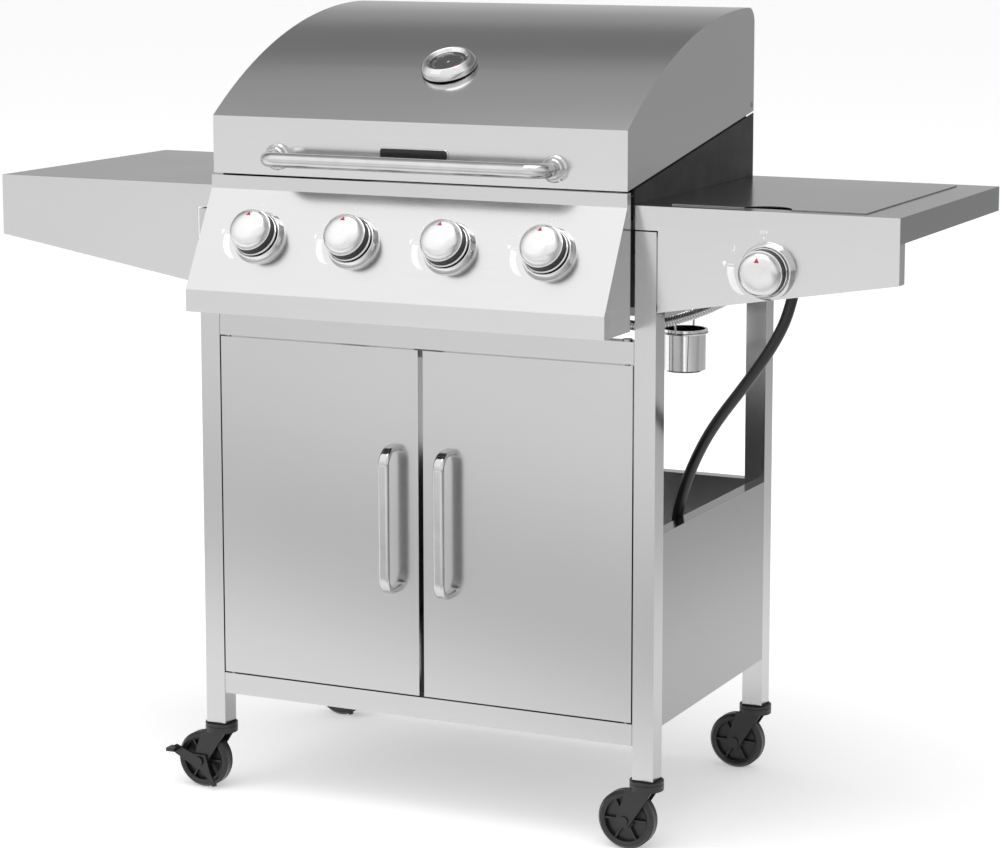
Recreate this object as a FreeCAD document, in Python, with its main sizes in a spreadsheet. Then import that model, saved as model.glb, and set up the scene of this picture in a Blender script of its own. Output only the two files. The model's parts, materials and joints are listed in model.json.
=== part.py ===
import FreeCAD, Part
import math
import os
import re
import Sketcher

# A four-burner gas barbecue on a cabinet cart, with a side burner on its right shelf.
# Drawing frame: X to the right, Y to the back from the front face of the legs, Z up from
# their lower ends, in millimetres. Each sub-part's Placement carries it to the part's frame,
# whose origin is on the ground under the middle.
SIZES = {
    # cart
    "wide": 640, "deep": 410, "leg": 28, "leg_top": 684.3, "tube_wall": 1.5, "skin": 1,
    "middle": 161.1, "ground": 92.5,
    "rail_low": 42.4, "rail_tall": 27.6, "rail_deep": 20, "head_low": 521, "back_low": 600,
    "panel_low": 64.8, "panel_top": 308.3, "fold": 18,
    "floor_low": 66, "floor_skin": 1.5, "seat_x": -70, "seat_y": 205, "seat_radius": 105,
    # doors
    "door_in": 3.5, "door_out": 290, "door_low": 72, "door_top": 519, "door_deep": 18,
    "pivot_x": 281, "pivot_y": 5.5, "pin": 3, "running": 0.05,
    "pull_x": 38.7, "pull_out": 27, "pull_low": 204, "pull_top": 396,
    "pull_wide": 15, "pull_thick": 8, "pull_bend": 20,
    # castors, about the swivel axis at the leg's lower end
    "swivel": 21.5, "stem": 5.5, "trail": 25, "axle_drop": 55, "axle": 4, "wheel": 37.5,
    "wheel_wide": 22, "cheek_in": 12.5, "cheek_out": 15.5,
    # firebox and lid
    "box_x": 288, "box_skin": 1.5, "box_low": 590, "box_front": 8, "box_back": 394,
    "grate_z": 700, "grate_tall": 8, "rack_z": 790,
    "lid_x": 288, "lid_skin": 1.2, "lid_front": -14.5, "lid_low": 733.2, "brow": 806.7,
    "crown_y": 390, "crown": 938.5, "lid_back": 410.5, "lid_back_low": 801.8, "corner": 20.5,
    "hinge_y": 403, "hinge_z": 810, "hinge_pin": 4,
    "grip": 9.25, "grip_y": -56, "grip_z": 757, "grip_x": 193, "grip_bend": 20,
    "dial_y": 86, "badge_x": 48, "badge_low": 750, "badge_top": 774.5,
    # control panel and its knobs
    "panel_x": 289.2, "brim_y": -17.9, "brim_z": 714.1, "panel_head": 731,
    "lip_y": -85.8, "lip_z": 590.8, "lip_low": 562.5, "panel_back": -7.3,
    "knob_step": 134, "knob_z": 656.5, "side_x": 463, "side_z": 645,
    "bezel": 35, "knob": 29, "cap": 26.4, "knob_tall": 41, "dome": 1.6, "spindle": 3, "valve": 12,
    "burner_z": 637, "burner": 12, "pipe_y": -34, "pipe_z": 628, "pipe": 9,
    # shelves
    "shelf_x": 625, "shelf_in": 289.5, "shelf_z": 715.5, "fascia_end": 636, "fascia_low": 586.4,
    "return_deep": 20, "joint_gap": 1.8, "well_in": 336, "well_out": 570, "well_front": 30,
    "well_back": 372, "well_low": 674, "head_x": 453, "head_y": 205, "head_radius": 36,
    "cover_in": 330, "cover_out": 576, "cover_front": 24, "cover_back": 386, "notch": 30,
    # grease tray and cup
    "tray_x": 268, "tray_front": 95, "tray_back": 385, "tray_low": 566, "tray_top": 587,
    "cup_x": 252, "cup_y": 262, "cup": 28, "cup_low": 473, "cup_rim": 528, "hook_z": 557,
    "wire": 1.5,
    # gas line
    "hose": 7, "branch": 6.25, "nut": 22, "nut_bore": 16.6, "nut_low": 86, "neck": 9,
}
HOSE_ROUTE = [
    (468, 80, 616), (461, 81, 584), (441, 84, 544), (405, 92, 495), (353, 107, 432),
    (323, 119, 382), (300, 132, 330), (287, 145, 276), (281, 154, 226), (279, 158, 190),
]
BRANCH_ROUTE = [
    (262, -22, 606), (263, -8, 584), (270, 16, 567), (288, 44, 562), (318, 64, 568),
    (356, 72, 582), (394, 68, 602), (424, 60, 624), (446, 54, 642),
]
KNOBS = (-1.5, -0.5, 0.5, 1.5)
CORNERS = {"fl": (-1, 0), "fr": (1, 0), "rl": (-1, 1), "rr": (1, 1)}
BRAKED = ("fl", "rl")
PLANES = {"XY": "XY_Plane", "XZ": "XZ_Plane", "YZ": "YZ_Plane"}
V = FreeCAD.Vector

doc = FreeCAD.newDocument("GasBarbecue")
dims = doc.addObject("Spreadsheet::Sheet", "Dims")
for row, (alias, value) in enumerate(SIZES.items(), 1):
    dims.set(f"A{row}", alias)
    dims.set(f"B{row}", str(value))
    dims.setAlias(f"B{row}", alias)
doc.recompute()
nodes = {}


def formula(text):
    """The text with each sheet name spelt as a reference to the sheet."""
    return re.sub(r"[a-z_]+", lambda m: f"Dims.{m[0]}" if m[0] in SIZES else m[0], str(text))


def size(text):
    """The number that a formula of sheet names stands for."""
    return float(dims.evalExpression(str(text)))


def bind(item, **formulas):
    for name, text in formulas.items():
        item.setExpression(name.replace("_", "."), formula(text))


def at(item, x=0, y=0, z=0, turn=None):
    """Places an item in the drawing frame, turned by an optional (axis, degrees)."""
    if turn:
        item.Placement.Rotation = FreeCAD.Rotation(V(*turn[0]), turn[1])
    for axis, text in zip("xyz", (x, y, z)):
        item.setExpression(f"Placement.Base.{axis}", formula(text))
    return item


def node(name, item, x=0, y=0, z=0, turn=None):
    """Makes an item a sub-part, placed by its own origin's place in the drawing frame."""
    item.Label = name
    nodes[name] = at(item, x, f"{y} - middle", f"{z} + ground", turn)
    return item


def block(x, y, z):
    """A box between formulas (low, high) on each axis."""
    item = doc.addObject("Part::Box", "Block")
    bind(item, Length=f"({x[1]}) - ({x[0]})", Width=f"({y[1]}) - ({y[0]})",
         Height=f"({z[1]}) - ({z[0]})")
    return at(item, x[0], y[0], z[0])


def rod(axis, radius, across, along):
    """A cylinder: across is its centre on the other two axes in X, Y, Z order."""
    item = doc.addObject("Part::Cylinder", "Rod")
    bind(item, Radius=radius, Height=f"({along[1]}) - ({along[0]})")
    place = list(across)
    place.insert("XYZ".index(axis), along[0])
    turn = {"X": ((0, 1, 0), 90), "Y": ((1, 0, 0), -90), "Z": ((0, 0, 1), 0)}[axis]
    return at(item, *place, turn=turn)


def fuse(*parts):
    item = doc.addObject("Part::MultiFuse", "Fuse")
    item.Shapes = list(parts)
    return item


def cut(base, *tools):
    item = doc.addObject("Part::Cut", "Cut")
    item.Base = base
    item.Tool = tools[0] if len(tools) == 1 else fuse(*tools)
    return item


def group(*parts):
    """Separate solids of one sub-part."""
    item = doc.addObject("Part::Compound", "Group")
    item.Links = list(parts)
    return item


def moved(item, x=0, y=0, z=0, turn=None):
    """Places an item that has a place of its own already, which is kept inside this one."""
    return at(group(item), x, y, z, turn)


def edge_curve(start, end, radius):
    """A line, or an arc that turns left for a positive radius and right for a negative one."""
    if not radius:
        return Part.LineSegment(start, end)
    chord = end - start
    side = V(-chord.y, chord.x, 0).normalize() * math.copysign(1, radius)
    height = math.sqrt(max(0, radius ** 2 - (chord.Length / 2) ** 2))
    centre = (start + end) * 0.5 + side * height
    return Part.Arc(start, centre - side * abs(radius), end)


def outline(sketch, corners):
    """Adds a closed loop: corners are (x, y), or (x, y, radius) where an arc leaves that corner."""
    places = [V(size(c[0]), size(c[1]), 0) for c in corners]
    radii = [size(c[2]) if len(c) > 2 else 0 for c in corners]
    first = sketch.GeometryCount
    count = len(corners)
    for i in range(count):
        sketch.addGeometry(edge_curve(places[i], places[(i + 1) % count], radii[i]), False)
    starts = [2 if r < 0 else 1 for r in radii]
    for i in range(count):
        follower = (i + 1) % count
        sketch.addConstraint(Sketcher.Constraint(
            "Coincident", first + i, 3 - starts[i], first + follower, starts[follower]))
    for i, corner in enumerate(corners):
        for kind, text, value in (("DistanceX", corner[0], places[i].x),
                                  ("DistanceY", corner[1], places[i].y)):
            index = sketch.addConstraint(Sketcher.Constraint(kind, first + i, starts[i], value))
            sketch.setExpression(f"Constraints[{index}]", formula(text))
        if radii[i]:
            index = sketch.addConstraint(Sketcher.Constraint("Radius", first + i, abs(radii[i])))
            sketch.setExpression(f"Constraints[{index}]", formula(f"abs({corner[2]})"))


def circle(sketch, x, y, radius):
    """Adds a whole circle."""
    centre = V(size(x), size(y), 0)
    ring = sketch.addGeometry(Part.Circle(centre, V(0, 0, 1), size(radius)), False)
    for kind, text, value in (("DistanceX", x, centre.x), ("DistanceY", y, centre.y)):
        index = sketch.addConstraint(Sketcher.Constraint(kind, ring, 3, value))
        sketch.setExpression(f"Constraints[{index}]", formula(text))
    index = sketch.addConstraint(Sketcher.Constraint("Radius", ring, size(radius)))
    sketch.setExpression(f"Constraints[{index}]", formula(radius))


def sketch_in(body, plane, loops):
    sketch = body.newObject("Sketcher::SketchObject", "Sketch")
    origin = {o.Role: o for o in body.Origin.OriginFeatures}
    sketch.AttachmentSupport = (origin[PLANES[plane]], [""])
    sketch.MapMode = "FlatFace"
    for loop in loops:
        if len(loop) == 3 and not isinstance(loop[0], tuple):
            circle(sketch, *loop)
        else:
            outline(sketch, loop)
    return sketch


def padded(plane, span, *loops):
    """A body padded from a sketch over span (low, high) along the plane's own row axis.
    A loop is a list of corners, or (x, y, radius) for a circle; an inner one is a hole."""
    body = doc.addObject("PartDesign::Body", "Body")
    sketch = sketch_in(body, plane, loops)
    offset = f"-({span[1]})" if plane == "XZ" else span[0]
    sketch.setExpression("AttachmentOffset.Base.z", formula(offset))
    pad = body.newObject("PartDesign::Pad", "Pad")
    pad.Profile = sketch
    bind(pad, Length=f"({span[1]}) - ({span[0]})")
    return body


def turned(*loops):
    """A body revolved about its Z axis from (radius, height) outlines."""
    body = doc.addObject("PartDesign::Body", "Body")
    sketch = sketch_in(body, "XZ", loops)
    spin = body.newObject("PartDesign::Revolution", "Revolution")
    spin.Profile = sketch
    spin.ReferenceAxis = (sketch, ["V_Axis"])
    spin.Angle = 360
    return body


def oblong(x, y):
    """The corners of a rectangle between (low, high) formulas."""
    return [(x[0], y[0]), (x[1], y[0]), (x[1], y[1]), (x[0], y[1])]


def mirrored(span, side):
    """A span on the right, or its mirror image on the left."""
    return span if side > 0 else (f"-({span[1]})", f"-({span[0]})")


def rounded(route, bend=None, name=None):
    """Straight runs joined by tangent arcs, as one wire. Without a bend radius each arc is as
    large as its two runs allow, and the radii and length are printed."""
    places = [V(*p) for p in route]
    edges = []
    radii = []
    last = places[0]
    for before, corner, after in zip(places, places[1:], places[2:]):
        toward = (before - corner).normalize()
        away = (after - corner).normalize()
        half_turn = (math.pi - toward.getAngle(away)) / 2
        shorter = min((before - corner).Length, (after - corner).Length)
        radius = bend or 0.45 * shorter / math.tan(half_turn)
        reach = radius * math.tan(half_turn)
        start = corner + toward * reach
        end = corner + away * reach
        inward = (toward + away).normalize()
        middle = corner + inward * (radius / math.cos(half_turn) - radius)
        if (start - last).Length > 1e-6:
            edges.append(Part.LineSegment(last, start).toShape())
        edges.append(Part.Arc(start, middle, end).toShape())
        radii.append(radius)
        last = end
    edges.append(Part.LineSegment(last, places[-1]).toShape())
    wire = Part.Wire(edges)
    if name:
        print(name, "length", round(wire.Length, 1), "radii", [round(r) for r in radii])
    return wire


def piped(wire, start, direction, radius):
    """The solid that a round section leaves along a wire."""
    section = Part.Wire(Part.makeCircle(radius, V(*start), direction))
    return wire.makePipeShell([section], True, True)


def shaped(shape):
    """A feature for a shape that is swept along a bent line."""
    item = doc.addObject("Part::Feature", "Shape")
    item.Shape = shape
    return item


def bent_rod(route, radius, bend=None, name=None):
    direction = V(*route[1]) - V(*route[0])
    solid = piped(rounded(route, bend, name), route[0], direction, radius)
    if name:
        ideal = math.pi * radius ** 2 * rounded(route, bend).Length
        print(name, "volume over section times length", round(solid.Volume / ideal, 4))
    return shaped(solid)


def strut(start, end, radius):
    """A straight round bar between two points."""
    along = V(*end) - V(*start)
    return shaped(Part.makeCylinder(size(radius), along.Length, V(*start), along))


def build_cart():
    near, far = "wide/2 - leg", "wide/2"
    posts = []
    for side, back in CORNERS.values():
        x = mirrored((near, far), side)
        y = ("deep - leg", "deep") if back else (0, "leg")
        inner_x = (f"{x[0]} + tube_wall", f"{x[1]} - tube_wall")
        inner_y = (f"{y[0]} + tube_wall", f"{y[1]} - tube_wall")
        posts.append(padded("XY", (0, "leg_top"), oblong(x, y), oblong(inner_x, inner_y)))
    node("legs", group(*posts))

    rails = []
    for y, z in (((0, "rail_deep"), "rail_low"), ((0, "rail_deep"), "head_low"),
                 (("deep - rail_deep", "deep"), "rail_low"),
                 (("box_back", "deep"), "back_low")):
        top = f"{z} + rail_tall"
        rail = padded("YZ", (f"-({near})", near), oblong(y, (z, top)),
                      oblong((f"{y[0]} + tube_wall", f"{y[1]} - tube_wall"),
                             (f"{z} + tube_wall", f"{top} - tube_wall")))
        if y[0] == 0:
            holes = [rod("Z", "pin", (f"{side}*pivot_x", "pivot_y"), (f"{z} - 1", f"{top} + 1"))
                     for side in (-1, 1)]
            seams = [block(mirrored((f"{near} - 0.9", f"{near} + 0.1"), side), (-1, 1.1),
                           (f"{z} - 1", f"{top} + 1")) for side in (-1, 1)]
            rail = cut(rail, *holes, *seams)
        rails.append(rail)
    catch = block((-18, 18), ("door_deep + 0.5", "door_deep + 14"), ("head_low - 14", "head_low"))
    runners = []
    for side in (-1, 1):
        wall = block(mirrored((f"{near} - tube_wall", near), side),
                     ("tray_front", "deep - leg/2"), ("tray_top - 22", "tray_top + 13"))
        ledge = block(mirrored(("tray_x + 4", near), side), ("tray_front", "tray_back"),
                      ("tray_top - 2.5", "tray_top - 1"))
        runners.append(fuse(wall, ledge))
    node("cabinet_rails", group(*rails, catch, *runners))

    panels = []
    for side in (-1, 1):
        shell = block(mirrored(("wide/2 - fold", "wide/2"), side), ("leg", "deep - leg"),
                      ("panel_low", "panel_top"))
        hollow = block(mirrored(("wide/2 - fold - 1", "wide/2 - skin"), side),
                       ("leg + skin", "deep - leg - skin"), ("panel_low - 1", "panel_top - skin"))
        panels.append(cut(shell, hollow))
    node("side_panels", group(*panels))
    shell = block((f"-({near})", near), ("deep - fold", "deep"),
                  ("rail_low + rail_tall", "panel_top"))
    hollow = block((f"-({near}) + skin", f"{near} - skin"), ("deep - fold - 1", "deep - skin"),
                   ("rail_low + rail_tall - 1", "panel_top - skin"))
    node("rear_panel", cut(shell, hollow))

    wing, waist = "wide/2 - skin", f"{near} - skin"
    low, front, back, high = "rail_deep", "leg + skin", "deep - leg - skin", "deep - rail_deep"
    cross = [(f"-({wing})", front), (f"-({waist})", front), (f"-({waist})", low), (waist, low),
             (waist, front), (wing, front), (wing, back), (waist, back), (waist, high),
             (f"-({waist})", high), (f"-({waist})", back), (f"-({wing})", back)]
    node("tank_shelf", padded("XY", ("floor_low", "floor_low + floor_skin"), cross,
                              ("seat_x", "seat_y", "seat_radius")))


def build_castors():
    stems = []
    for name, (side, back) in CORNERS.items():
        x = f"{side}*(wide/2 - leg/2)"
        y = "deep - leg/2" if back else "leg/2"
        half = "leg/2 - tube_wall"
        plug = block((f"{x} - ({half})", f"{x} + {half}"), (f"{y} - ({half})", f"{y} + {half}"),
                     (0, 24))
        plate = block((f"{x} - leg/2", f"{x} + leg/2"), (f"{y} - leg/2", f"{y} + leg/2"), (-2, 0))
        race = rod("Z", "swivel", (x, y), (-5.5, -2))
        shank = rod("Z", "stem", (x, y), (-16, -5))
        head = rod("Z", "stem + 2.5", (x, y), (-17.3, -14.4))
        stems.append(fuse(plug, plate, race, shank, head))

        pin_reach = "cheek_out + 5" if name in BRAKED else "cheek_out"
        disc = cut(rod("Z", "swivel", (0, 0), (-14, -6)),
                   rod("Z", "stem + running", (0, 0), (-15, -5)))
        cheeks = [padded("XZ", span, [(14, -12), (-21, -12), (-35, -51), (-32, -63), (-20, -64),
                                      (-14, -55)])
                  for span in (("cheek_in", "cheek_out"), ("-cheek_out", "-cheek_in"))]
        pin = rod("Y", "axle", ("-trail", "-axle_drop"), (f"-({pin_reach})", "cheek_out"))
        heads = [rod("Y", "axle + 2.5", ("-trail", "-axle_drop"), span)
                 for span in ((f"-({pin_reach}) - 2", f"-({pin_reach})"),
                              ("cheek_out", "cheek_out + 2"))]
        node(f"caster_fork_{name}", fuse(disc, *cheeks, pin, *heads), x, y)

        rim = turned([("axle + running", "-wheel_wide/2 + 1"), (11, "-wheel_wide/2 + 1"), (11, -3),
                      (28, -3), (28, "-wheel_wide/2 + 2"), (31, "-wheel_wide/2"),
                      ("wheel - 4", "-wheel_wide/2"), ("wheel", "-wheel_wide/2 + 5", -40),
                      ("wheel", "wheel_wide/2 - 5"), ("wheel - 4", "wheel_wide/2"),
                      (31, "wheel_wide/2"), (28, "wheel_wide/2 - 2"), (28, 3), (11, 3),
                      (11, "wheel_wide/2 - 1"), ("axle + running", "wheel_wide/2 - 1")])
        webs = [moved(block((10, 29), (-1.2, 1.2), (-8, 8)), turn=((0, 0, 1), step))
                for step in range(0, 360, 60)]
        node(f"caster_wheel_{name}", fuse(rim, *webs), f"{x} - trail", y, "-axle_drop",
             ((1, 0, 0), 90))

        if name in BRAKED:
            arm = padded("XZ", ("-cheek_out - 3.7", "-cheek_out - 0.7"),
                         [(-63, -47), (-67, -41), (-60, -36), (-33, -46), (-15, -46), (-8, -70),
                          (1, -86), (-4, -88), (-20, -68), (-33, -63)],
                         ("-trail", "-axle_drop", "axle + running"))
            pedal = block((-68, -56), ("-cheek_out - 16", "-cheek_out - 0.7"), (-43, -38.5))
            node(f"caster_brake_{name}", fuse(arm, pedal), x, y)
    node("caster_stems", group(*stems))


def build_firebox():
    slope = "(lid_back_low - lid_low)/(lid_back - lid_front)"
    front_top = f"lid_low - 3 + ({slope})*(box_front - lid_front)"
    back_top = f"lid_low - 3 + ({slope})*(lid_back - lid_front)"
    step = "hinge_y - 15"
    step_low = f"lid_low - 3 + ({slope})*({step} - lid_front)"
    walls = []
    for side in (-1, 1):
        side_wall = padded("YZ", mirrored(("box_x - box_skin", "box_x"), side),
                           [("box_front", "box_low"), ("box_back", "box_low"),
                            ("box_back", "box_low + 50"), ("lid_back", "box_low + 50"),
                            ("lid_back", back_top), ("box_front", front_top)])
        upstand = [padded("YZ", mirrored(("box_x - 3", outer), side),
                          [("box_front", f"{front_top} - 8"), (step, f"{step_low} - 8"),
                           (step, f"{step_low} {rise}"), ("box_front", f"{front_top} {rise}")])
                   for outer, rise in (("box_x - 0.5", "- 2"), ("box_x - 2", "+ 8"))]
        across = mirrored(("box_x - 7", "box_x - 4"), side)
        stem = padded("YZ", across,
                      [("hinge_y - 30", "hinge_z - 40"), ("hinge_y - 18", "hinge_z - 40"),
                       ("hinge_y - 16", "hinge_z - 12.5"), ("hinge_y - 9.5", "hinge_z - 6.2"),
                       ("hinge_y - 3.5", "hinge_z - 3.5"), ("hinge_y - 3", "hinge_z + 4.5"),
                       ("hinge_y - 30", "hinge_z - 12")])
        ear = fuse(stem, rod("X", 5.6, ("hinge_y", "hinge_z"), across))
        foot = block(mirrored(("box_x - 7", "box_x - 0.5"), side),
                     ("hinge_y - 30", "hinge_y - 19"), ("hinge_z - 40", "hinge_z - 24"))
        ledge = block(mirrored(("box_x - 18", "box_x - 1"), side), ("box_front", "box_back"),
                      ("grate_z - 2", "grate_z"))
        lug = block(mirrored(("box_x - 12", "box_x"), side), ("panel_back - 12", "box_front + 1"),
                    ("burner_z + 20", "burner_z + 60"))
        eye = rod("X", "hinge_pin + running", ("hinge_y", "hinge_z"),
                  mirrored(("box_x - 9", "box_x - 2"), side))
        walls += [side_wall, *upstand, cut(ear, eye), foot, ledge, lug]
    inside = ("-box_x + 0.5", "box_x - 0.5")
    mouths = [rod("Y", "burner + 1", (f"{k}*knob_step", "burner_z"),
                  ("box_front - 1", "box_front + 3")) for k in KNOBS]
    front = cut(block(inside, ("box_front", "box_front + box_skin"), ("box_low", "lid_low - 6")),
                *mouths)
    apron = block(inside, ("lid_front + 2.5", "box_front + 1"), ("lid_low - 7.7", "lid_low - 6.2"))
    back = block(inside, ("box_back - box_skin", "box_back"), ("box_low", "hinge_z - 38"))
    node("firebox", fuse(*walls, front, apron, back))

    tubes = []
    shields = []
    for k in KNOBS:
        x = f"{k}*knob_step"
        tube = cut(rod("Y", "burner", (x, "burner_z"), (-6, 378)),
                   rod("Y", "burner - 1.2", (x, "burner_z"), (-7, 374)))
        tubes.append(fuse(tube, rod("Y", "hinge_pin", (x, "burner_z"),
                                    (377, "box_back - box_skin"))))
        ridge = "burner_z + 42"
        skirt = "burner_z + 20"
        shields.append(padded("XZ", ("box_front + box_skin", "box_back - box_skin"),
                              [(f"{x} - 45", skirt), (x, ridge), (f"{x} + 45", skirt),
                               (f"{x} + 43", skirt), (x, f"{ridge} - 1.6"), (f"{x} - 43", skirt)]))
    node("burners", group(*tubes))
    node("heat_plates", group(*shields))


def build_grates():
    panes = []
    for k in (-1, 0, 1):
        left = f"{k}*184 - 91.5"
        slots = [oblong((f"{left} + {8 + 17.2 * i:.1f}", f"{left} + {18 + 17.2 * i:.1f}"), span)
                 for i in range(10) for span in ((22, 196), (204, 378))]
        panes.append(padded("XY", ("grate_z", "grate_z + grate_tall"),
                            oblong((left, f"{left} + 183"), (14, 386)), *slots))
    node("cooking_grates", group(*panes))

    rungs = [oblong((-272, 272), (f"{244 + 16 * i}", f"{256 + 16 * i}")) for i in range(8)]
    rack = padded("XY", ("rack_z", "rack_z + 4"), oblong((-284, 284), (240, 372)), *rungs)
    posts = [rod("Z", 3, (x, y), ("grate_z", "rack_z + 1")) for x in (-280.5, 280.5)
             for y in (250, 362)]
    node("warming_rack", fuse(rack, *posts))


def build_lid():
    def profile(inset, low):
        """The lid's side outline, drawn inward by a skin; low is its front lower corner."""
        front, back = f"lid_front + {inset}", f"lid_back - {inset}"
        run, rise = f"(crown_y - lid_front - {inset})", f"(crown - brow - {inset})"
        arch = f"-({run}*{run} + {rise}*{rise})/(2*{rise})"
        return [(front, low), (front, "brow", arch), ("crown_y", f"crown - {inset}",
                f"-(corner - {inset})"), (back, "crown - corner"),
                (back, "lid_back_low" if inset == 0 else low)]

    outer = padded("YZ", ("-lid_x", "lid_x"), profile(0, "lid_low"))
    inner = padded("YZ", ("-lid_x + lid_skin", "lid_x - lid_skin"),
                   profile("lid_skin", "lid_low - 30"))
    bolt_holes = rod("X", "hinge_pin", ("hinge_y", "hinge_z"), ("-lid_x - 1", "lid_x + 1"))
    arch = size("((crown_y - lid_front)^2 + (crown - brow)^2)/(2*(crown - brow))")
    lean = math.degrees(math.asin((size("crown_y") - size("dial_y")) / arch))
    dial_z = size("crown") - arch + arch * math.cos(math.radians(lean))
    probe_hole = moved(rod("Z", 4, (0, 0), (-6, 6)), 0, "dial_y", dial_z, ((1, 0, 0), lean))
    node("lid_shell", cut(cut(outer, inner), bolt_holes, probe_hole))

    case = turned([(0, 0), (34, 0), (36, 2), (36, 8), (30, 16), (27.5, 16), (23, 11), (0, 11)])
    probe = rod("Z", 3, (0, 0), (-60, 1))
    node("thermometer", fuse(case, probe), 0, "dial_y", dial_z, ((1, 0, 0), lean))

    grip, bend = size("grip"), size("grip_bend")
    x, y, z, face = size("grip_x"), size("grip_y"), size("grip_z"), size("lid_front")
    route = [(-x, face, z), (-x, y, z), (x, y, z), (x, face, z)]
    path = rounded(route, bend)
    along = V(0, -1, 0)
    tube = shaped(piped(path, route[0], along, grip).cut(
        piped(path, route[0], along, grip - 1.5)))
    cups = []
    for side in (-1, 1):
        ring = turned([("grip", 0), (17, 0), (17, 4), (15, 5.5), (13, 5.5), (13, 10),
                       (11.5, 11.5), ("grip", 11.5)])
        cups.append(at(ring, f"{side}*grip_x", "lid_front", "grip_z", ((1, 0, 0), 90)))
    node("lid_handle", fuse(tube, *cups))

    left, right, low, high = "-badge_x", "badge_x", "badge_low", "badge_top"
    node("badge", padded("XZ", ("lid_front - 2", "lid_front"),
                         [(f"{left} + 5", low), (f"{right} - 5", low, 5), (right, f"{low} + 5"),
                          (right, f"{high} - 5", 5), (f"{right} - 5", high),
                          (f"{left} + 5", high, 5), (left, f"{high} - 5"),
                          (left, f"{low} + 5", 5)]))
    bolts = []
    for side in (-1, 1):
        shank = rod("X", "hinge_pin", ("hinge_y", "hinge_z"),
                    mirrored(("lid_x - 11", "lid_x"), side))
        head = rod("X", "hinge_pin + 1.6", ("hinge_y", "hinge_z"),
                   mirrored(("lid_x - 11", "lid_x - 7.4"), side))
        bolts.append(fuse(shank, head))
    node("lid_hinge_bolts", group(*bolts))


def knob_places():
    """Name, place and tilt of each knob's axis, which leaves the panel along its own +Z."""
    tilt = math.degrees(math.atan2(size("brim_z - lip_z"), size("brim_y - lip_y")))
    y = "brim_y - (brim_z - knob_z)*(brim_y - lip_y)/(brim_z - lip_z)"
    places = [(str(i), f"{k}*knob_step", y, "knob_z", tilt) for i, k in enumerate(KNOBS, 1)]
    return places + [("side", "side_x", "0", "side_z", 90)]


def build_controls():
    shell = padded("YZ", ("-panel_x", "panel_x"),
                   [("brim_y", "panel_head"), ("brim_y", "brim_z"), ("lip_y", "lip_z"),
                    ("lip_y", "lip_low"), ("panel_back", "lip_low"), ("panel_back", "panel_head")])
    hollow = padded("YZ", ("-panel_x + lid_skin", "panel_x - lid_skin"),
                    [("brim_y + lid_skin", "panel_head - lid_skin"),
                     ("brim_y + lid_skin", "brim_z - 0.3"), ("lip_y + lid_skin", "lip_z - 0.3"),
                     ("lip_y + lid_skin", "lip_low - 1"), ("panel_back + 1", "lip_low - 1"),
                     ("panel_back + 1", "panel_head - lid_skin")])
    holes = []
    bores = []
    bezels = []
    valves = []
    for name, x, y, z, tilt in knob_places():
        turn = ((1, 0, 0), tilt)
        ring = turned([(29.6, 0), ("bezel", 0), ("bezel", 2.5), (31, 10), (29.6, 10)])
        bezels.append(at(ring, x, y, z, turn))
        dome = "((cap - 4)^2 + dome^2)/(2*dome)"
        skirt = turned([("spindle + running", 5), (27.5, 5), ("knob", 6.5), ("knob", 15.5),
                        ("knob - 1", 16), ("knob - 1", 25.5), ("cap + 0.8", 26),
                        ("cap + 0.8", 27), ("cap", 27.5), ("cap", "knob_tall - 10"),
                        ("cap - 1.4", "knob_tall - 5"), ("cap - 4", "knob_tall - dome", dome),
                        (0, "knob_tall"), (0, 32), ("spindle + running", 32)])
        node(f"knob_{name}", skirt, x, y, z, turn)
        spindle = rod("Z", "spindle", (0, 0), (-28, 30))
        node(f"valve_stem_{name}", group(spindle), x, y, z, turn)
        if name == "side":
            continue
        holes.append(moved(rod("Z", 5, (0, 0), (-4, 2)), x, y, z, turn))
        bores.append(moved(rod("Z", "spindle + running", (0, 0), (-34, -11)), x, y, z, turn))
        body = moved(rod("Z", "valve", (0, 0), (-40, -12)), x, y, z, turn)
        valves.append(fuse(body, rod("Y", 5, (x, "burner_z"), (-24, -3))))
    node("control_panel", cut(cut(shell, hollow), *holes))
    node("knob_bezels", group(*bezels))
    main = rod("X", "pipe", ("pipe_y", "pipe_z"), (-225, 268))
    start = BRANCH_ROUTE[0]
    outlet = strut((start[0], size("pipe_y"), size("pipe_z")), start, "branch + 2")
    node("gas_manifold", cut(fuse(main, *valves, outlet), *bores))


def build_cover():
    """The side burner's loose flat cover: a finger notch in front, lips below that locate it."""
    plate = padded("XY", ("shelf_z + 0.2", "shelf_z + 1.4"),
                   [("cover_in", "cover_front"),
                    ("head_x - notch", "cover_front", "-(notch + 0.5)"),
                    ("head_x + notch", "cover_front"), ("cover_out", "cover_front"),
                    ("cover_out", "cover_back"), ("cover_in", "cover_back")])
    lips = [block((x, f"{x} + 30"), (y, f"{y} + 1.2"), ("shelf_z - 5", "shelf_z + 0.8"))
            for x in ("well_in + 8", "well_out - 38") for y in ("well_front + 1", "well_back - 2.2")]
    node("side_burner_cover", fuse(plate, *lips))


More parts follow.
